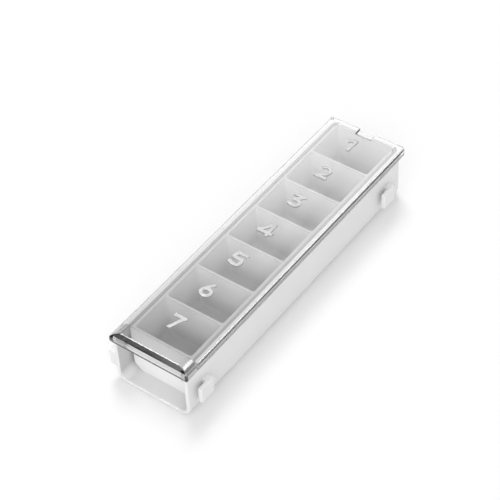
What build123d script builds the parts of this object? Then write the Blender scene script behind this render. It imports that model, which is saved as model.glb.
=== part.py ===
"""Seven-cell pill organizer with a clear sliding lid, in millimetres.

+Z is up and the lid's pull lip is at -Y. The origin lies on the surface that the box stands on, below
the middle of the whole object. The lid slides along the tray towards -Y, so the cell at the far end
opens first.
"""

import os

from build123d import *

# Overall sizes
overall_length = 125.0  # over the lid, from the lip to the far end
overall_width = 35.0  # over the link hooks on both sides
overall_height = 23.0  # to the top of the lid's lip

# Running clearances and the overrun of cuts
side_clearance = 0.3
lift_clearance = 0.2
strip_clearance = 0.15
cut_overrun = 1.0

# Slide lid: a plate with skirts that hook under the tray's rails
lid_width = 31.0
plate_thickness = 1.0
skirt_depth = 2.8  # from the plate's top to the skirt's lower edge
skirt_thickness = 1.1
hook_reach = 0.7
hook_height = 0.6
plate_edge_radius = 0.5
plate_corner_radius = 1.0  # far corners, seen from above

# Pull lip across the lid's front end
lip_depth = 6.2
lip_rise = 1.4  # above the plate
lip_wall = 1.2
lip_corner_run = 4.0  # across the width, where the lip's top rounds down to its ends
lip_face_run = 1.6  # the slanted front face, along the length
lip_face_drop = 1.9
lip_edge_radius = 0.45

# Outer tray
lid_overhang = 0.7  # lid beyond the tray's wall at each side
far_overhang = 0.3  # lid beyond the tray's far end
lip_overhang = 0.5  # lip beyond the tray's front end
wall_thickness = 1.4
far_wall = 1.1
lower_radius = 4.5
far_radius = 4.0
rail_neck = 0.8
rail_shelf = 1.4  # thickness of the shelf that carries the rail inwards of the wall
finger_hollow_depth = 6.2
front_rim_radius = 0.5

# Stop tab on the far wall, which stands in a notch of the lid
tab_width = 6.0
tab_depth = 2.5
tab_height = 0.9
tab_clearance = 0.4

# Link hooks on the tray's sides: those on one side catch those on the other side of the next box
link_low = 6.2
link_height = 6.2
link_root = 2.8
link_slot = 4.0  # length of a hook's finger beyond its root
link_finger_thickness = 1.2
near_link_inset = 7.9  # from the lid's front end to the root of the near hook
far_link_inset = 12.3  # from the lid's far end to the root of the far hook
link_edge_radius = 0.4
half_turn = 180.0

# Cell strip
cell_count = 7
cell_wall = 1.15
strip_front_wall = 1.3
strip_far_wall = 0.8
divider_thickness = 0.9
strip_floor = 1.0
strip_lower_radius = 4.0
cell_lower_radius = 3.0
cell_corner_radius = 0.8

# Levels
plate_top = overall_height - lip_rise
plate_under = plate_top - plate_thickness
skirt_bottom = plate_top - skirt_depth
rail_top = plate_under - lift_clearance
flange_under = skirt_bottom + hook_height + lift_clearance
ledge_top = skirt_bottom - lift_clearance
shelf_under = ledge_top - rail_shelf
strip_top = rail_top - strip_clearance
cell_floor = wall_thickness + strip_floor

# Half widths
lid_half = lid_width / 2
skirt_inner = lid_half - skirt_thickness
flange_half = skirt_inner - side_clearance
neck_half = flange_half - hook_reach
throat_half = neck_half - rail_neck
wall_half = lid_half - lid_overhang
hollow_half = wall_half - wall_thickness
strip_half = throat_half - strip_clearance
cell_half = strip_half - cell_wall
link_half = overall_width / 2

# Places along the length
lid_end = overall_length / 2
lip_back = -lid_end + lip_depth
tray_front = -lid_end + lip_overhang
tray_back = lid_end - far_overhang
hollow_back = tray_back - far_wall
room_length = hollow_back - tray_front + cut_overrun
rail_front = -lid_end + lip_wall + side_clearance
strip_front = tray_front + finger_hollow_depth
strip_back = hollow_back - strip_clearance
cells_front = strip_front + strip_front_wall
cells_back = strip_back - strip_far_wall
cell_length = (cells_back - cells_front - (cell_count - 1) * divider_thickness) / cell_count
cell_pitch = cell_length + divider_thickness


def upright_plane(place):
    """Plane across the length at a given Y, with local x along X and local y along Z."""
    return Plane.XZ.offset(-place)


def trough_section(half_width, low, high, radius):
    """Rectangle between two levels, with its two lower corners rounded."""
    with Locations((0, (low + high) / 2)):
        Rectangle(2 * half_width, high - low)
    fillet(vertices().group_by(Axis.Y)[0], radius)


def far_end_edges(piece):
    """Edges round a piece's far end face, apart from the one on top."""
    return piece.faces().sort_by(Axis.Y)[-1].edges().sort_by(Axis.Z)[:-1]


def link_hook_section(near_root, near_tip):
    """Plan of a hook on the +X wall: a root on the wall and a finger that points to -Y, clear of the wall."""
    root_inner = wall_half - wall_thickness / 2
    finger_inner = link_half - link_finger_thickness
    Polygon(
        (root_inner, near_root),
        (finger_inner, near_root),
        (finger_inner, near_tip),
        (link_half, near_tip),
        (link_half, near_root + link_root),
        (root_inner, near_root + link_root),
        align=None,
    )


# Room inside the tray: a trough under the rails' shelf and a narrower throat between the rails
with BuildPart() as tray_room:
    with BuildSketch(upright_plane(hollow_back)):
        trough_section(hollow_half, wall_thickness, shelf_under, lower_radius - wall_thickness)
    extrude(amount=room_length)
    fillet(far_end_edges(tray_room), far_radius - far_wall)
    with BuildSketch(Plane.XY.offset(shelf_under)) as throat_plan:
        with Locations((0, hollow_back - room_length / 2)):
            Rectangle(2 * throat_half, room_length)
        fillet(throat_plan.vertices().group_by(Axis.Y)[-1], far_radius - far_wall)
    extrude(amount=rail_top - shelf_under)

# Outer tray: U-section body, open at the front, with a rail along each top edge
with BuildPart() as outer_tray:
    with BuildSketch(upright_plane(tray_back)):
        trough_section(wall_half, 0, ledge_top, lower_radius)
    extrude(amount=tray_back - tray_front)
    fillet(far_end_edges(outer_tray), far_radius)

    rail_length = tray_back - rail_front
    rail_middle = (tray_back + rail_front) / 2
    for low, high, half_width in ((ledge_top, flange_under, neck_half), (flange_under, rail_top, flange_half)):
        with BuildSketch(Plane.XY.offset(low)) as rail_plan:
            with Locations((0, rail_middle)):
                Rectangle(2 * half_width, rail_length)
            fillet(rail_plan.vertices().group_by(Axis.Y)[-1], far_radius)
        extrude(amount=high - low)
    add(tray_room.part, mode=Mode.SUBTRACT)

    front_rim = outer_tray.faces().sort_by(Axis.Y)[0].edges()
    fillet(front_rim.filter_by(lambda edge: edge.center().Z < shelf_under), front_rim_radius)

    with BuildSketch(Plane.XY.offset(rail_top)):
        with Locations((0, tray_back - tab_depth / 2)):
            Rectangle(tab_width, tab_depth)
    extrude(amount=tab_height)

    with BuildSketch(Plane.XY.offset(link_low)) as link_plan:
        for root_place in (near_link_inset - lid_end, lid_end - far_link_inset):
            tip_place = root_place - link_slot
            link_hook_section(root_place, tip_place)
            with Locations(Location((0, 0), half_turn)):
                link_hook_section(side_clearance - tip_place, side_clearance - root_place)
        across = link_plan.vertices().group_by(Axis.X)
        fillet(across[0] + across[-1], link_edge_radius)
    extrude(amount=link_height)

outer_tray.part.label = "outer_tray"

# Room of one cell, whose end edges are rounded, centred on the origin along the length
with BuildPart() as cell_room:
    with BuildSketch(upright_plane(cell_length / 2)):
        trough_section(cell_half, cell_floor, strip_top, cell_lower_radius)
    extrude(amount=cell_length)
    for end_face in cell_room.faces().filter_by(Axis.Y):
        fillet(end_face.edges().sort_by(Axis.Z)[:-1], cell_corner_radius)

# Cell strip: seven troughs in a row, seated on the tray's floor
with BuildPart() as cell_strip:
    with BuildSketch(upright_plane(strip_back)):
        trough_section(strip_half, wall_thickness, strip_top, strip_lower_radius)
    extrude(amount=strip_back - strip_front)
    fillet(far_end_edges(cell_strip), far_radius - far_wall)
    with Locations((0, (cells_front + cells_back) / 2)):
        with GridLocations(0, cell_pitch, 1, cell_count):
            add(cell_room.part, mode=Mode.SUBTRACT)

cell_strip.part.label = "cell_strip"

# Slide lid: clear plate with hooked skirts, a thick lip in front and a notch at the far end
with BuildPart() as slide_lid:
    lip_corner_drop = lip_rise + plate_edge_radius
    lip_shoulder = overall_height - lip_corner_drop
    lip_flat_half = lid_half - lip_corner_run
    lip_radius = (lip_corner_run**2 + lip_corner_drop**2) / (2 * lip_corner_drop)
    with BuildSketch(upright_plane(lip_back)):
        with BuildLine():
            Polyline(
                (-lid_half, lip_shoulder),
                (-lid_half, skirt_bottom),
                (lid_half, skirt_bottom),
                (lid_half, lip_shoulder),
            )
            RadiusArc((lid_half, lip_shoulder), (lip_flat_half, overall_height), -lip_radius)
            Line((lip_flat_half, overall_height), (-lip_flat_half, overall_height))
            RadiusArc((-lip_flat_half, overall_height), (-lid_half, lip_shoulder), -lip_radius)
        make_face()
    extrude(amount=lip_depth)
    step_edges = slide_lid.faces().sort_by(Axis.Y)[-1].edges().sort_by(Axis.Z)[-3:]
    fillet(step_edges, lip_edge_radius)

    face_foot = overall_height - lip_face_drop
    face_slope = lip_face_run / lip_face_drop
    with BuildSketch(Plane.YZ):
        Polygon(
            (-lid_end - cut_overrun, face_foot - cut_overrun / face_slope),
            (-lid_end + (lip_face_drop + cut_overrun) * face_slope, overall_height + cut_overrun),
            (-lid_end - cut_overrun, overall_height + cut_overrun),
            align=None,
        )
    extrude(amount=lid_half + cut_overrun, both=True, mode=Mode.SUBTRACT)
    slanted_face = slide_lid.faces().filter_by(Plane.XZ, reverse=True).sort_by(Axis.Y)[0]
    fillet(slanted_face.edges().sort_by(Axis.Z)[1:], lip_edge_radius)

    with BuildSketch(upright_plane(lid_end)):
        with Locations((0, (plate_top + skirt_bottom) / 2)):
            Rectangle(lid_width, skirt_depth)
        fillet(vertices().group_by(Axis.Y)[-1], plate_edge_radius)
        with Locations((0, (plate_under + skirt_bottom) / 2)):
            Rectangle(2 * skirt_inner, plate_under - skirt_bottom, mode=Mode.SUBTRACT)
        with GridLocations(2 * skirt_inner - hook_reach, 0, 2, 1):
            with Locations((0, skirt_bottom + hook_height / 2)):
                Rectangle(hook_reach, hook_height)
    extrude(amount=overall_length - lip_depth)
    with BuildSketch(Plane.XY.offset(skirt_bottom)) as lid_plan:
        with Locations((0, -cut_overrun / 2)):
            Rectangle(lid_width, overall_length + cut_overrun)
        fillet(lid_plan.vertices().group_by(Axis.Y)[-1], plate_corner_radius)
    extrude(amount=overall_height - skirt_bottom, mode=Mode.INTERSECT)

    with BuildSketch(upright_plane(lip_back)):
        with Locations((0, (plate_under + skirt_bottom) / 2)):
            Rectangle(2 * skirt_inner, plate_under - skirt_bottom)
    extrude(amount=lip_depth - lip_wall, mode=Mode.SUBTRACT)

    notch_depth = far_overhang + tab_depth + tab_clearance
    with BuildSketch(Plane.XY.offset(plate_under)):
        with Locations((0, lid_end - notch_depth / 2)):
            Rectangle(tab_width + 2 * tab_clearance, notch_depth)
    extrude(amount=plate_thickness, mode=Mode.SUBTRACT)

slide_lid.part.label = "slide_lid"

os.makedirs("parts", exist_ok=True)
export_step(outer_tray.part, "parts/outer_tray.step")
export_step(cell_strip.part, "parts/cell_strip.step")
export_step(slide_lid.part, "parts/slide_lid.step")
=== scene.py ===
# %% [markdown]
# # A clear-lidded pill organizer, dressed for a studio picture
#
# The exact shapes come from a CAD model: a white outer tray, a white strip of seven cells that sits in it, and a
# clear lid that slides along the tray. This lesson gives them soft moulded edges, real plastics and raised
# numbers, and then lights them. Everything is in metres, with +Z up and the lid's pull lip at -Y.

# %% Load the frame
import math

import bmesh
import bpy
from mathutils import Matrix, Vector


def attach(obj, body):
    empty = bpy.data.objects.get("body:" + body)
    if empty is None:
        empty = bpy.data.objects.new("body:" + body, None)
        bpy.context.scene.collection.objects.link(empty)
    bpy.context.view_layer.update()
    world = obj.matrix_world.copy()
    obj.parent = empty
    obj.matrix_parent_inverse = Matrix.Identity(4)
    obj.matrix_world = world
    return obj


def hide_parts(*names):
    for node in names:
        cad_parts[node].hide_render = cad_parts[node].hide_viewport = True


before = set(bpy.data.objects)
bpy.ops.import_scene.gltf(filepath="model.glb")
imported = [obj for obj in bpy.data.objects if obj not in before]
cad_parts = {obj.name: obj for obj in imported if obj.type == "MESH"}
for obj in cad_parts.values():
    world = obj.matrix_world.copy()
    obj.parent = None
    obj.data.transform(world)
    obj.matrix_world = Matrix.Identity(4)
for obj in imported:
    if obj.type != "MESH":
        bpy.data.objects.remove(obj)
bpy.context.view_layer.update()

scene = bpy.context.scene
MM = 0.001

# %% [markdown]
# ## The camera
#
# The photograph looks down on the lip end from the right. A camera can be placed by hand until the edges agree, or
# solved from them. These values were solved from the long edges, the dividers and the ends of the lid: turn about
# the box, height, a slight roll and the distance. The lens is given in pixels of a 500 pixel wide picture.

# %% Camera
view_turn, view_height, view_roll = math.radians(39.091), math.radians(45.537), math.radians(4.0)
aim_point = Vector((0, 0, 11)) * MM
aim_in_view = Vector((5.243, 3.064, 570.15)) * MM
focal_pixels, picture_pixels = 1693.664, 500
sensor_mm, nearest_seen = 36, 10 * MM

away = Vector((-math.sin(view_turn) * math.cos(view_height), math.cos(view_turn) * math.cos(view_height),
               -math.sin(view_height)))
level_right = away.cross(Vector((0, 0, 1))).normalized()
level_down = away.cross(level_right)
picture_right = math.cos(view_roll) * level_right + math.sin(view_roll) * level_down
picture_down = math.cos(view_roll) * level_down - math.sin(view_roll) * level_right

camera_data = bpy.data.cameras.new("studio_camera")
camera_data.sensor_width = sensor_mm
camera_data.lens = focal_pixels / picture_pixels * sensor_mm
camera_data.clip_start = nearest_seen
camera = bpy.data.objects.new("studio_camera", camera_data)
scene.collection.objects.link(camera)
eye = aim_point - picture_right * aim_in_view.x - picture_down * aim_in_view.y - away * aim_in_view.z
camera.matrix_world = Matrix.Translation(eye) @ Matrix((picture_right, -picture_down, -away)).transposed().to_4x4()
scene.camera = camera
print("camera at", [round(v, 3) for v in eye], "lens", round(camera_data.lens, 1), "mm")

# %% [markdown]
# ## Soft edges
#
# A mould never leaves a perfectly sharp outer edge, and on glossy plastic that small rounding is what catches the
# light. A Bevel modifier could add it, but the CAD meshes are loose triangles. So each node is copied, its points are
# merged, flat regions are joined into single faces, and only the outward edges are bevelled. Inward corners stay
# as they are, so nothing grows into its neighbour. The cells get the softest edges and the polished lid hair-fine
# ones. Its pull lip is already rounded in the CAD.

# %% Smooth shading helper
def into_mesh(bm, mesh, crease):
    """Write a bmesh into a mesh and free it, with smooth shading except over creases sharper than an angle."""
    for face in bm.faces:
        face.smooth = True
    bm.to_mesh(mesh)
    bm.free()
    mesh.set_sharp_from_angle(angle=crease)
    print(mesh.name, "has", len(mesh.polygons), "faces")


# %% Rounding helper
merge_gap, sliver_gap = 0.002 * MM, 0.001 * MM
flat_angle, sharp_angle, crease_angle = math.radians(0.5), math.radians(35), math.radians(32)


def soft_edged(node, name, width, segments=3):
    """A copy of a CAD node with its sharp outward edges rounded, standing in for the node."""
    bm = bmesh.new()
    bm.from_mesh(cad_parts[node].data)
    bmesh.ops.remove_doubles(bm, verts=bm.verts, dist=merge_gap)
    bmesh.ops.dissolve_limit(bm, angle_limit=flat_angle, verts=bm.verts, edges=bm.edges)
    sharp = [e for e in bm.edges if e.is_manifold and e.is_convex and e.calc_face_angle() > sharp_angle]
    bmesh.ops.bevel(bm, geom=sharp, offset=width, offset_type="OFFSET", affect="EDGES", segments=segments, profile=0.5,
                    material=-1, clamp_overlap=True)
    print(name, len(sharp), "edges rounded by", round(width / MM, 2), "mm")
    bmesh.ops.remove_doubles(bm, verts=bm.verts, dist=sliver_gap)
    mesh = bpy.data.meshes.new(name)
    into_mesh(bm, mesh, crease_angle)
    piece = bpy.data.objects.new(name, mesh)
    scene.collection.objects.link(piece)
    even = piece.modifiers.new("even_normals", "WEIGHTED_NORMAL")
    even.mode, even.keep_sharp = "FACE_AREA", True
    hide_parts(node)
    return piece


print("outward edges of more than", round(math.degrees(sharp_angle)), "degrees are rounded")

# %% Rounded pieces
tray_body = soft_edged("outer_tray", "tray_body", 0.18 * MM)
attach(tray_body, "tray")
cell_row = soft_edged("cell_strip", "cell_row", 0.38 * MM, segments=4)
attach(cell_row, "tray")
clear_lid = soft_edged("slide_lid", "clear_lid", 0.16 * MM)
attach(clear_lid, "lid")

# %% [markdown]
# ### Fuller long edges
#
# Two bright lines run down the long edges of the lid in the photograph, and their width comes from the rounding there.
# The CAD rounding is half a millimetre. A rounding grows with its centre when it is scaled about the corner line that
# it takes off, and it still meets the top and the side without a crease. So these points are scaled about that line.

# %% Long edges of the lid
lid_half, plate_top, lip_back = 15.5 * MM, 21.6 * MM, -56.3 * MM
cad_rounding, wanted_rounding, near = 0.5 * MM, 0.75 * MM, 0.05 * MM
grow = wanted_rounding / cad_rounding
bm = bmesh.new()
bm.from_mesh(clear_lid.data)
for side in (-1, 1):
    corner = Vector((side * lid_half, 0, plate_top))
    rounded = [v for v in bm.verts if side * v.co.x > lid_half - cad_rounding - near and v.co.y > lip_back - near
               and plate_top - cad_rounding - near < v.co.z < plate_top + near]
    bmesh.ops.scale(bm, vec=(grow, 1, grow), space=Matrix.Translation(-corner), verts=rounded)
    print("side", side, "has", len(rounded), "points on its rounding of", round(wanted_rounding / MM, 2), "mm")
bm.to_mesh(clear_lid.data)
bm.free()

# %% [markdown]
# ## Raised numbers
#
# The lid carries a plain number over each cell, raised about a third of a millimetre and frosted, so that it reads
# against clear plastic. A font could be extruded, but these have the flat stroke ends of an engraved mould. So each
# number is drawn with a pen: straight strokes are extruded points, bows are spun points. The pen line is pulled up
# into a ribbon and given the width of the stroke, and a box trims the ends flat and joins strokes that cross.

# %% A pen for strokes
number_height, number_rise, stroke_width = 6.2 * MM, 0.35 * MM, 1.2 * MM
bow_steps = 14


def pen_down(bm, x, y):
    """The first point of a stroke, in millimetres from the foot of the number's middle."""
    return bm.verts.new((x * MM, y * MM, 0))


def pen_line(bm, tip, x, y):
    """A straight stroke from the pen's tip to a point."""
    grown = bmesh.ops.extrude_vert_indiv(bm, verts=[tip])
    grown["verts"][0].co = (x * MM, y * MM, 0)
    return grown["verts"][0]


def pen_bow(bm, tip, x, y, degrees):
    """A round stroke about a middle point; positive degrees go clockwise, as the hand writes."""
    swung = bmesh.ops.spin(bm, geom=[tip], cent=(x * MM, y * MM, 0), axis=(0, 0, -1), dvec=(0, 0, 0),
                           angle=math.radians(degrees), steps=bow_steps, use_duplicate=False)
    return next(part for part in swung["geom_last"] if isinstance(part, bmesh.types.BMVert))


print("pen of", round(stroke_width / MM, 1), "mm for numbers", round(number_height / MM, 1), "mm tall")


# %% Strokes of each number
def draw_one(bm):
    pen_line(bm, pen_line(bm, pen_down(bm, -2.3, 4.25), 0.45, 6.1), 0.45, 5.0)
    pen_line(bm, pen_down(bm, 0.45, 6.8), 0.45, -0.6)


def draw_two(bm):
    tip = pen_bow(bm, pen_down(bm, -1.75, 4.62), -0.05, 3.9, 214)
    pen_line(bm, tip, -3.1, 0.05)
    pen_line(bm, pen_down(bm, -3.2, 0.6), 3.2, 0.6)


def draw_three(bm):
    pen_line(bm, pen_down(bm, -3.0, 5.6), 3.0, 5.6)
    pen_line(bm, pen_down(bm, 2.0, 6.05), -0.75, 3.0)
    tip = pen_bow(bm, pen_line(bm, pen_down(bm, -1.3, 3.25), 0.5, 3.25), 0.5, 1.925, 180)
    pen_bow(bm, pen_line(bm, tip, -0.3, 0.6), -0.3, 3.5, 48)


def draw_four(bm):
    pen_line(bm, pen_down(bm, 1.15, 6.8), 1.15, -0.6)
    pen_line(bm, pen_down(bm, 1.1, 6.75), -2.45, 1.45)
    pen_line(bm, pen_down(bm, -3.5, 1.55), 3.5, 1.55)


def draw_five(bm):
    pen_line(bm, pen_down(bm, -2.0, 5.6), 3.0, 5.6)
    pen_line(bm, pen_down(bm, -1.6, 6.7), -1.9, 2.95)
    tip = pen_bow(bm, pen_line(bm, pen_down(bm, -2.1, 3.35), 0.4, 3.35), 0.4, 1.975, 180)
    pen_bow(bm, pen_line(bm, tip, -0.3, 0.6), -0.3, 3.5, 48)


def draw_six(bm):
    pen_line(bm, pen_down(bm, 1.2, 6.75), -1.45, 2.95)
    ring = bmesh.ops.create_circle(bm, cap_ends=False, radius=1.5 * MM, segments=3 * bow_steps)
    bmesh.ops.scale(bm, vec=(1.2, 1, 1), verts=ring["verts"])
    bmesh.ops.translate(bm, vec=(0.05 * MM, 2.1 * MM, 0), verts=ring["verts"])


def draw_seven(bm):
    pen_line(bm, pen_down(bm, -3.0, 5.6), 3.0, 5.6)
    pen_line(bm, pen_down(bm, 1.95, 6.3), -1.15, -0.6)


# Each number with the left and right ends that its strokes are trimmed to, in millimetres from its middle.
number_strokes = ((draw_one, -2.2, 1.05), (draw_two, -2.5, 2.5), (draw_three, -2.3, 2.4), (draw_four, -3.0, 2.8),
                  (draw_five, -2.6, 2.4), (draw_six, -2.5, 2.5), (draw_seven, -2.4, 2.5))
print(len(number_strokes), "numbers, the widest", max(right - left for _, left, right in number_strokes), "mm")


# %% One raised number
def raised_number(draw, left, right):
    """A mesh of one number, flat on the XY plane with its foot at the origin."""
    pen = bpy.data.meshes.new("pen")
    bm = bmesh.new()
    draw(bm)
    ribbon = bmesh.ops.extrude_edge_only(bm, edges=bm.edges)
    lifted = [part for part in ribbon["geom"] if isinstance(part, bmesh.types.BMVert)]
    bmesh.ops.translate(bm, vec=(0, 0, number_rise), verts=lifted)
    bm.to_mesh(pen)
    bm.free()
    stroke = bpy.data.objects.new("stroke", pen)
    scene.collection.objects.link(stroke)
    wide = stroke.modifiers.new("stroke_width", "SOLIDIFY")
    wide.thickness, wide.offset, wide.use_even_offset = stroke_width, 0, True

    trim_mesh = bpy.data.meshes.new("trim")
    bm = bmesh.new()
    bmesh.ops.create_cube(bm, size=1.0)
    bmesh.ops.scale(bm, vec=((right - left) * MM, number_height, 4 * number_rise), verts=bm.verts)
    bmesh.ops.translate(bm, vec=((left + right) / 2 * MM, number_height / 2, 0), verts=bm.verts)
    bm.to_mesh(trim_mesh)
    bm.free()
    trim = bpy.data.objects.new("trim", trim_mesh)
    scene.collection.objects.link(trim)
    cut = stroke.modifiers.new("trim_ends", "BOOLEAN")
    cut.operation, cut.solver, cut.object, cut.use_self = "INTERSECT", "EXACT", trim, True
    made = bpy.data.meshes.new_from_object(stroke.evaluated_get(bpy.context.evaluated_depsgraph_get()))
    for helper in (stroke, trim):
        bpy.data.objects.remove(helper)
    for helper_mesh in (pen, trim_mesh):
        bpy.data.meshes.remove(helper_mesh)
    return made


print("numbers rise", round(number_rise / MM, 2), "mm from the pen's plane")

# %% Numbers on the lid
first_foot, number_pitch, number_middle, sunk = 50.2 * MM, 16.62 * MM, -1.0 * MM, 0.02 * MM
stroke_gap, stroke_flat = 0.004 * MM, math.radians(1)
rim_angle, rim_above, rim_rounding, stroke_crease = math.radians(50), 0.2 * MM, 0.14 * MM, math.radians(40)

bm = bmesh.new()
for count, (draw, left, right) in enumerate(number_strokes):
    single = raised_number(draw, left, right)
    single.transform(Matrix.Translation((number_middle, first_foot - count * number_pitch, plate_top - sunk)))
    bm.from_mesh(single)
    bpy.data.meshes.remove(single)
bmesh.ops.remove_doubles(bm, verts=bm.verts, dist=stroke_gap)
bmesh.ops.dissolve_limit(bm, angle_limit=stroke_flat, verts=bm.verts, edges=bm.edges)
rims = [e for e in bm.edges if e.is_manifold and e.calc_face_angle() > rim_angle
        and min(v.co.z for v in e.verts) > plate_top + rim_above]
bmesh.ops.bevel(bm, geom=rims, offset=rim_rounding, offset_type="OFFSET", affect="EDGES", segments=3, profile=0.5,
                material=-1, clamp_overlap=True)
numbers_mesh = bpy.data.meshes.new("lid_numbers")
into_mesh(bm, numbers_mesh, stroke_crease)
lid_numbers = bpy.data.objects.new("lid_numbers", numbers_mesh)
scene.collection.objects.link(lid_numbers)
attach(lid_numbers, "lid")

# %% [markdown]
# ## White moulded plastic
#
# The tray and the strip are milky polypropylene: nearly white, satin, with a very faint cloudiness where the melt
# flowed and a fine tool grain. Each material could hold its own noises. Here one node group makes that skin from two
# of them, and every moulded material places it with its own values.

# %% Node helpers
# A Mix node keeps the sockets of all its data types, so those of one type are told by their places.
COLOR_A, COLOR_B, COLOR_OUT = 6, 7, 2


def add_node(tree, kind, **values):
    """A node of a tree with its properties and the defaults of its inputs set by name."""
    node = tree.nodes.new(kind)
    for key, value in values.items():
        if key in node.inputs:
            node.inputs[key].default_value = value
        else:
            setattr(node, key, value)
    return node


def feed(tree, source, socket):
    """An input socket gets a link from another socket, or a plain value."""
    if isinstance(source, bpy.types.NodeSocket):
        tree.links.new(source, socket)
    else:
        socket.default_value = source


def mixed(tree, mask, first, second, blend="MIX"):
    """The colour from one Mix node; each colour is a socket or a plain value."""
    node = add_node(tree, "ShaderNodeMix", data_type="RGBA", blend_type=blend)
    feed(tree, mask, node.inputs["Factor"])
    feed(tree, first, node.inputs[COLOR_A])
    feed(tree, second, node.inputs[COLOR_B])
    return node.outputs[COLOR_OUT]


def new_group(name, inputs, outputs):
    """A shader node group with named sockets, and its inside input and output nodes."""
    group = bpy.data.node_groups.new(name, "ShaderNodeTree")
    for side, sockets in (("INPUT", inputs), ("OUTPUT", outputs)):
        for socket_name, socket_type in sockets:
            group.interface.new_socket(socket_name, in_out=side, socket_type=socket_type)
    print("group", name, [socket.name for socket in group.interface.items_tree])
    return group, group.nodes.new("NodeGroupInput"), group.nodes.new("NodeGroupOutput")


print("node helpers:", ", ".join(helper.__name__ for helper in (add_node, feed, mixed, new_group)))

# %% Moulded skin group
flow_scale, grain_scale = 55.0, 2600.0
skin, given, result = new_group(
    "moulded_skin",
    (("Pale", "NodeSocketColor"), ("Deep", "NodeSocketColor"), ("Roughness Low", "NodeSocketFloat"),
     ("Roughness High", "NodeSocketFloat")),
    (("Color", "NodeSocketColor"), ("Roughness", "NodeSocketFloat"), ("Height", "NodeSocketFloat")))
place = skin.nodes.new("ShaderNodeTexCoord")
flow = add_node(skin, "ShaderNodeTexNoise", Scale=flow_scale, Detail=3.0, Roughness=0.5, Distortion=0.6)
grain = add_node(skin, "ShaderNodeTexNoise", Scale=grain_scale, Detail=2.0, Roughness=0.6)
for noise in (flow, grain):
    skin.links.new(place.outputs["Object"], noise.inputs["Vector"])
cloudy = mixed(skin, flow.outputs["Fac"], given.outputs["Pale"], given.outputs["Deep"])
skin.links.new(cloudy, result.inputs["Color"])
satin = add_node(skin, "ShaderNodeMapRange")
skin.links.new(grain.outputs["Fac"], satin.inputs["Value"])
skin.links.new(given.outputs["Roughness Low"], satin.inputs["To Min"])
skin.links.new(given.outputs["Roughness High"], satin.inputs["To Max"])
skin.links.new(satin.outputs["Result"], result.inputs["Roughness"])
skin.links.new(grain.outputs["Fac"], result.inputs["Height"])

# %% [markdown]
# ## Painted shade on rims, floors and hollow
#
# On the real box the narrow rims lie close under a lid that has skirts and hooks, the cells have deep round floors,
# and the finger hollow lies under the pull lip. All of these lie in shade and come out a little greyer than the outer
# walls. Light alone doesn't give all of that here, because the lid lets the lamps straight through. So a second group
# paints that shade into the colour and multiplies it down: on the rims, which are found by height and by distance from
# the middle, towards the floors of the cells, and on the inner walls of the hollow.

# %% Mask helpers
def joined(tree, operation, first, second=0.0):
    """The value of two sockets, or of a socket and a number, through one Math node."""
    node = add_node(tree, "ShaderNodeMath", operation=operation)
    feed(tree, first, node.inputs[0])
    feed(tree, second, node.inputs[1])
    return node.outputs["Value"]


def every(tree, *masks):
    """The product of masks and strengths: bright only where all of them are."""
    product = masks[0]
    for mask in masks[1:]:
        product = joined(tree, "MULTIPLY", product, mask)
    return product


def soft_step(tree, value, start, end):
    """A smooth rise from 0 to 1 between two readings of a socket; start above end makes it a fall."""
    node = add_node(tree, "ShaderNodeMapRange", interpolation_type="SMOOTHSTEP")
    node.inputs["From Min"].default_value, node.inputs["From Max"].default_value = min(start, end), max(start, end)
    node.inputs["To Min"].default_value = 0.0 if start < end else 1.0
    node.inputs["To Max"].default_value = 1.0 if start < end else 0.0
    tree.links.new(value, node.inputs["Value"])
    return node.outputs["Result"]


print("mask helpers:", ", ".join(helper.__name__ for helper in (joined, every, soft_step)))

# %% Painted shade group: rims, floors and hollow
rim_fade, span_fade = 0.4 * MM, 0.2 * MM
floor_starts, floor_full = 13.0 * MM, 3.0 * MM
hollow_line, hollow_half, hollow_fade = -55.2 * MM, 13.5 * MM, 0.08 * MM
hollow_starts, hollow_full = 1.6 * MM, 5.0 * MM

shade, given, result = new_group(
    "painted_rim_floor_shade",
    (("Color", "NodeSocketColor"), ("Rim Shade", "NodeSocketFloat"), ("Rim Height", "NodeSocketFloat"),
     ("Span Low", "NodeSocketFloat"), ("Span High", "NodeSocketFloat"), ("Floor Shade", "NodeSocketFloat"),
     ("Hollow Shade", "NodeSocketFloat")),
    (("Color", "NodeSocketColor"),))
place = shade.nodes.new("ShaderNodeTexCoord")
spot = shade.nodes.new("ShaderNodeSeparateXYZ")
shade.links.new(place.outputs["Object"], spot.inputs["Vector"])
height, off_middle = spot.outputs["Z"], joined(shade, "ABSOLUTE", spot.outputs["X"])
above_rim = joined(shade, "SUBTRACT", height, given.outputs["Rim Height"])
past_low = joined(shade, "SUBTRACT", off_middle, given.outputs["Span Low"])
past_high = joined(shade, "SUBTRACT", off_middle, given.outputs["Span High"])
rim = every(shade, soft_step(shade, above_rim, 0.0, rim_fade), soft_step(shade, past_low, 0.0, span_fade),
            soft_step(shade, past_high, span_fade, 0.0))
floor = every(shade, soft_step(shade, height, floor_starts, floor_full),
              joined(shade, "GREATER_THAN", spot.outputs["Y"], hollow_line))
hollow = every(shade, joined(shade, "LESS_THAN", spot.outputs["Y"], hollow_line),
               soft_step(shade, off_middle, hollow_half, hollow_half - hollow_fade),
               soft_step(shade, height, hollow_starts, hollow_full))
# Painted shade: each mask multiplies the colour down by its shade value, fully where the mask is full.
darkened = given.outputs["Color"]
for mask, tone in ((rim, "Rim Shade"), (floor, "Floor Shade"), (hollow, "Hollow Shade")):
    darkened = mixed(shade, mask, darkened, given.outputs[tone], "MULTIPLY")
shade.links.new(darkened, result.inputs["Color"])

# %% Plastic helpers
grain_depth = 0.02 * MM


def grey(level):
    """An opaque neutral colour; nothing on this box has a hue."""
    return (level, level, level, 1)


def new_plastic(name):
    """A new material with its node tree and its Principled shader."""
    material = bpy.data.materials.new(name)
    material.use_nodes = True
    return material, material.node_tree, material.node_tree.nodes["Principled BSDF"]


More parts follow.
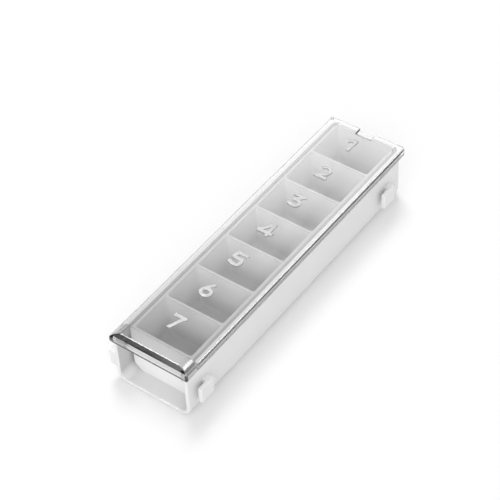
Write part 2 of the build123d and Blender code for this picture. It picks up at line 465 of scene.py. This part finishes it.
def placed(tree, group, values):
    """A node group in a material's tree, with its inputs set by name."""
    node = add_node(tree, "ShaderNodeGroup", node_tree=group)
    for socket_name, value in values.items():
        node.inputs[socket_name].default_value = value
    return node


def skinned(tree, shader, values, grain_strength):
    """The moulded skin gives a shader its roughness and bump; its colour comes back, for further use."""
    surface = placed(tree, skin, values)
    bump = add_node(tree, "ShaderNodeBump", Strength=grain_strength, Distance=grain_depth)
    tree.links.new(surface.outputs["Roughness"], shader.inputs["Roughness"])
    tree.links.new(surface.outputs["Height"], bump.inputs["Height"])
    tree.links.new(bump.outputs["Normal"], shader.inputs["Normal"])
    return surface.outputs["Color"]


print("grain of", round(grain_depth / MM, 2), "mm")


# %% White plastics
def white_plastic(name, skin_values, shade_values, subsurface):
    """Satin white plastic that lets a little light into its walls."""
    material, tree, shader = new_plastic(name)
    # The skin's colour passes through the painted shade group before it reaches the shader.
    darker = placed(tree, shade, shade_values)
    tree.links.new(skinned(tree, shader, skin_values, grain_strength=0.12), darker.inputs["Color"])
    tree.links.new(darker.outputs["Color"], shader.inputs["Base Color"])
    shader.inputs["IOR"].default_value = 1.49
    shader.inputs["Subsurface Weight"].default_value = subsurface
    shader.inputs["Subsurface Radius"].default_value = (1.0, 1.0, 1.0)
    shader.inputs["Subsurface Scale"].default_value = 1.2 * MM
    return material


# The second set of values places and sets the painted shade on rims, cell floors and the hollow.
tray_white = white_plastic(
    "tray_white",
    {"Pale": grey(0.79), "Deep": grey(0.74), "Roughness Low": 0.3, "Roughness High": 0.4},
    {"Rim Shade": 0.55, "Rim Height": 20.0 * MM, "Span Low": 11.5 * MM, "Span High": 13.4 * MM, "Floor Shade": 1.0,
     "Hollow Shade": 0.72},
    subsurface=0.25)
cell_white = white_plastic(
    "cell_white",
    {"Pale": grey(0.88), "Deep": grey(0.83), "Roughness Low": 0.34, "Roughness High": 0.44},
    {"Rim Shade": 0.7, "Rim Height": 19.8 * MM, "Span Low": -1.0 * MM, "Span High": 20.0 * MM, "Floor Shade": 0.76,
     "Hollow Shade": 1.0},
    subsurface=0.15)
tray_body.data.materials.append(tray_white)
cell_row.data.materials.append(cell_white)
print("white plastics on", tray_body.name, "and", cell_row.name)

# %% [markdown]
# ## The clear lid
#
# Clear styrene is glass to a renderer: full transmission, and here a refractive index of 1.55, a little under the
# plastic's own. Real glass would also keep lamps from reaching the cells, because light bent by two surfaces is hard
# to find from the lit side. So shadow and bounce rays see it as plain transparency, and the picture's own rays see
# the bending.
#
# Four small things keep it from looking like perfect glass. A slow ripple bends the reflections. Hair-fine scuffs
# run along the slide, where the lid rubs, and are rougher than the polish. Thick plastic is greyer than thin: a
# little absorption does that along every ray. On top of the pull lip a grey tint adds painted shade. And a narrow
# grey line of painted shade follows the lid's outline, standing in for the dark that a real edge shows because one
# looks along the plastic.

# %% Polish and scuffs
ripple_scale, scuff_scale, scuff_along = 60.0, 2200.0, 0.03
scuff_starts, scuff_full = 0.55, 0.8
polish, rub = 0.004, 0.086


def polished(tree, shader, place):
    """A shader gets a slow ripple in its normal, and scuffs along Y that are rougher than the polish."""
    ripple = add_node(tree, "ShaderNodeTexNoise", Scale=ripple_scale, Detail=1.0)
    bump = add_node(tree, "ShaderNodeBump", Strength=0.02, Distance=0.05 * MM)
    tree.links.new(place.outputs["Object"], ripple.inputs["Vector"])
    tree.links.new(ripple.outputs["Fac"], bump.inputs["Height"])
    tree.links.new(bump.outputs["Normal"], shader.inputs["Normal"])
    along = add_node(tree, "ShaderNodeMapping", Scale=(1.0, scuff_along, 1.0))
    scuff = add_node(tree, "ShaderNodeTexNoise", Scale=scuff_scale, Detail=2.0)
    tree.links.new(place.outputs["Object"], along.inputs["Vector"])
    tree.links.new(along.outputs["Vector"], scuff.inputs["Vector"])
    rubbed = soft_step(tree, scuff.outputs["Fac"], scuff_starts, scuff_full)
    rough = joined(tree, "ADD", joined(tree, "MULTIPLY", rubbed, rub), polish)
    tree.links.new(rough, shader.inputs["Roughness"])


print("scuffs about", round(1 / scuff_along), "times as long as wide, roughness up to", round(polish + rub, 2))

# %% Painted shade on the lip and the outline
lip_top, lid_end = 23.0 * MM, 62.5 * MM
lip_fade, side_fade, end_fade = 0.5 * MM, 0.22 * MM, 0.3 * MM
side_starts, side_full = 0.6 * MM, 0.4 * MM


def tint_with_painted_shade(tree, place, tint, outline_shade, lip_shade):
    """The colour of the clear plastic, with painted shade on the lid's outline and on the lip's top."""
    spot = tree.nodes.new("ShaderNodeSeparateXYZ")
    tree.links.new(place.outputs["Object"], spot.inputs["Vector"])
    off_middle = joined(tree, "ABSOLUTE", spot.outputs["X"])
    on_side = every(tree, soft_step(tree, off_middle, lid_half - side_fade, lid_half - near),
                    soft_step(tree, spot.outputs["Z"], plate_top - side_starts, plate_top - side_full))
    on_end = soft_step(tree, spot.outputs["Y"], lid_end - end_fade, lid_end - near)
    on_lip = soft_step(tree, spot.outputs["Z"], lip_top - lip_fade, lip_top - near)
    # Painted shade: a grey line along the outline, and a grey over the lip's top.
    outlined = mixed(tree, joined(tree, "MAXIMUM", on_side, on_end), tint, outline_shade)
    return mixed(tree, on_lip, outlined, lip_shade)


print("outline tint", round(side_fade / MM, 2), "mm wide at the sides,", round(end_fade / MM, 2), "mm at the end")


# %% Clear plastic
def clear_plastic(name, tint, outline_shade, lip_shade):
    """Polished clear plastic, with painted shade on its outline and on the lip's top."""
    material, tree, shader = new_plastic(name)
    shader.inputs["IOR"].default_value = 1.55
    shader.inputs["Transmission Weight"].default_value = 1.0
    place = tree.nodes.new("ShaderNodeTexCoord")
    polished(tree, shader, place)
    tree.links.new(tint_with_painted_shade(tree, place, tint, outline_shade, lip_shade), shader.inputs["Base Color"])
    return material


def lets_light_in(material, color, depth_color, density):
    """Shadow and bounce rays pass straight through a clear material, and its thickness absorbs a little."""
    tree = material.node_tree
    out = tree.nodes["Material Output"]
    ray = tree.nodes.new("ShaderNodeLightPath")
    straight = joined(tree, "MAXIMUM", ray.outputs["Is Shadow Ray"], ray.outputs["Is Diffuse Ray"])
    through = add_node(tree, "ShaderNodeBsdfTransparent", Color=color)
    either = tree.nodes.new("ShaderNodeMixShader")
    tree.links.new(straight, either.inputs["Fac"])
    tree.links.new(tree.nodes["Principled BSDF"].outputs["BSDF"], either.inputs[1])
    tree.links.new(through.outputs["BSDF"], either.inputs[2])
    tree.links.new(either.outputs["Shader"], out.inputs["Surface"])
    depth = add_node(tree, "ShaderNodeVolumeAbsorption", Color=depth_color, Density=density)
    tree.links.new(depth.outputs["Volume"], out.inputs["Volume"])


# The plastic's own tint is near white; the outline and lip greys are painted shade.
lid_clear = clear_plastic("lid_clear", tint=grey(0.988), outline_shade=grey(0.504), lip_shade=grey(0.754))
lets_light_in(lid_clear, color=grey(0.981), depth_color=grey(0.505), density=140.0)
clear_lid.data.materials.append(lid_clear)
print("clear plastic on", clear_lid.name, "with", len(lid_clear.node_tree.nodes), "nodes")

# %% [markdown]
# ## Frosted numbers
#
# The number cavities of the mould are sand-blasted, so the raised strokes come out milky: light goes in and
# scatters. Rough glass could do that, but it is noisy to render. At this size a grey-white surface looks the same, so
# the strokes wear the moulded skin with a stronger grain, and keep enough shine to catch the light.

# %% Frosted strokes
number_frost, tree, shader = new_plastic("number_frost")
frost = {"Pale": grey(0.56), "Deep": grey(0.5), "Roughness Low": 0.2, "Roughness High": 0.3}
tree.links.new(skinned(tree, shader, frost, grain_strength=0.3), shader.inputs["Base Color"])
lid_numbers.data.materials.append(number_frost)
print("frost on", lid_numbers.name)

# %% [markdown]
# ## The studio
#
# A white product picture has a floor that fades to pure white and still holds a soft shadow. Lighting the floor until
# it clips would wash out the object. Here the floor is ordinary pale diffuse, plus a glow that only the camera,
# mirror and see-through rays can see, so the object isn't lit by it.

# %% Floor
floor_half, floor_drop, floor_glow = 3.0, 0.05 * MM, 0.1


def glow_seen_by_camera(tree, strength):
    """An emission that is seen directly, in reflections and through clear plastic, but lights nothing."""
    ray = tree.nodes.new("ShaderNodeLightPath")
    seen = joined(tree, "MAXIMUM", ray.outputs["Is Camera Ray"], ray.outputs["Is Glossy Ray"])
    seen_through = joined(tree, "MAXIMUM", seen, ray.outputs["Is Transmission Ray"])
    return joined(tree, "MULTIPLY", seen_through, strength)


floor_mesh = bpy.data.meshes.new("studio_floor")
bm = bmesh.new()
bmesh.ops.create_grid(bm, x_segments=1, y_segments=1, size=floor_half)
bm.to_mesh(floor_mesh)
bm.free()
studio_floor = bpy.data.objects.new("studio_floor", floor_mesh)
scene.collection.objects.link(studio_floor)
studio_floor.location.z = -floor_drop

floor_white = bpy.data.materials.new("floor_white")
floor_white.use_nodes = True
tree = floor_white.node_tree
tree.nodes.clear()
matte = add_node(tree, "ShaderNodeBsdfDiffuse", Color=grey(0.8))
glow = tree.nodes.new("ShaderNodeEmission")
tree.links.new(glow_seen_by_camera(tree, floor_glow), glow.inputs["Strength"])
both = tree.nodes.new("ShaderNodeAddShader")
tree.links.new(matte.outputs["BSDF"], both.inputs[0])
tree.links.new(glow.outputs["Emission"], both.inputs[1])
out = tree.nodes.new("ShaderNodeOutputMaterial")
tree.links.new(both.outputs["Shader"], out.inputs["Surface"])
floor_mesh.materials.append(floor_white)
print("floor of", round(2 * max(v.co.x for v in floor_mesh.vertices), 1), "m")

# %% [markdown]
# ## The world
#
# For ordinary light the world is an even white tent. Clear plastic needs more than that: in an all-white room it
# shows no edges at all. A photographer puts bright panels and black cards where the plastic mirrors them. Here the
# mirror rays see three panels: one behind the box, which the far half of the lid reflects, a strip overhead on the
# left and a small one high on the right, which draw the white lines along the rounded edges. They stand high and are
# narrow, so that the flat lid isn't washed out from other sides.
#
# Rays that have been through the plastic see the white background near the horizon and a dark studio above it, which
# gives the pull lip its dark slope. That studio is paler on the right.

# %% World directions
world = bpy.data.worlds.new("studio_world")
scene.world = world
world.use_nodes = True
tree = world.node_tree
sky = tree.nodes["Background"]
sky.inputs["Color"].default_value = grey(1)
direction = tree.nodes.new("ShaderNodeTexCoord")
parts = tree.nodes.new("ShaderNodeSeparateXYZ")
tree.links.new(direction.outputs["Generated"], parts.inputs["Vector"])
across, height = parts.outputs["X"], parts.outputs["Z"]
swing = joined(tree, "DEGREES", joined(tree, "ARCTAN2", height, parts.outputs["Y"]))
print("world directions: sideways X, and the swing over the box in degrees, from the back")


# %% World panels
def panel(sides, swings, strength):
    """A soft-edged bright panel: four readings across X and four of the swing."""
    return every(tree, soft_step(tree, across, sides[0], sides[1]), soft_step(tree, across, sides[3], sides[2]),
                 soft_step(tree, swing, swings[0], swings[1]), soft_step(tree, swing, swings[3], swings[2]), strength)


panels = (
    panel((-0.9, -0.75, -0.3, -0.15), (41.0, 46.0, 48.0, 60.0), 5.2),
    panel((-0.56, -0.5, -0.38, -0.32), (64.0, 70.0, 128.0, 138.0), 14.0),
    panel((0.0, 0.1, 0.4, 0.5), (47.0, 51.0, 62.0, 66.0), 8.0),
)
print("world with", len(panels), "panels")

# %% What each ray sees
FLOAT_A, FLOAT_B, FLOAT_OUT = 2, 3, 0
tent, backdrop = 0.66, 1.0
mirrored_dark, through_dark, through_right = 0.3, 0.1, 0.6
horizon_top, horizon_full = 0.12, 0.04
right_starts, right_full = 0.0, 0.3

horizon = soft_step(tree, height, horizon_top, horizon_full)
mirrored = joined(tree, "MAXIMUM", horizon, mirrored_dark)
for bright in panels:
    mirrored = joined(tree, "ADD", mirrored, bright)
pale_side = joined(tree, "MULTIPLY", soft_step(tree, across, right_starts, right_full), through_right)
through = joined(tree, "MAXIMUM", joined(tree, "MAXIMUM", horizon, pale_side), through_dark)
ray = tree.nodes.new("ShaderNodeLightPath")
level = tent
for kind, seen in (("Is Camera Ray", backdrop), ("Is Glossy Ray", mirrored), ("Is Transmission Ray", through)):
    pick = add_node(tree, "ShaderNodeMix", data_type="FLOAT")
    tree.links.new(ray.outputs[kind], pick.inputs["Factor"])
    feed(tree, level, pick.inputs[FLOAT_A])
    feed(tree, seen, pick.inputs[FLOAT_B])
    level = pick.outputs[FLOAT_OUT]
tree.links.new(level, sky.inputs["Strength"])
print("tent", tent, "for ordinary light, white", backdrop, "for the camera")

# %% [markdown]
# ## The lamps
#
# The box's shadow falls to the right and to the front, so the key is high at the back on the left, and small enough
# for the shadow to have a direction. A large, weak fill from the front right opens the side wall. The panels above
# already stand for what the plastic mirrors, so the lamps themselves are hidden from mirror and see-through rays.

# %% Lamps
def soft_lamp(name, place, size, power):
    """A square area lamp that faces the middle of the floor. Lengths in metres, power in watts."""
    data = bpy.data.lights.new(name, "AREA")
    data.shape = "SQUARE"
    data.size = size
    data.energy = power
    lamp = bpy.data.objects.new(name, data)
    scene.collection.objects.link(lamp)
    lamp.location = place
    lamp.rotation_euler = (-Vector(place)).to_track_quat("-Z", "Y").to_euler()
    lamp.visible_transmission = lamp.visible_glossy = False
    print(name, "at", round(Vector(place).length, 2), "m,", power, "W")


soft_lamp("key_lamp", (-0.42, 0.45, 1.15), size=0.5, power=5.9)
soft_lamp("fill_lamp", (0.65, -1.2, 0.8), size=1.8, power=14.0)
scene.view_settings.view_transform = "Standard"
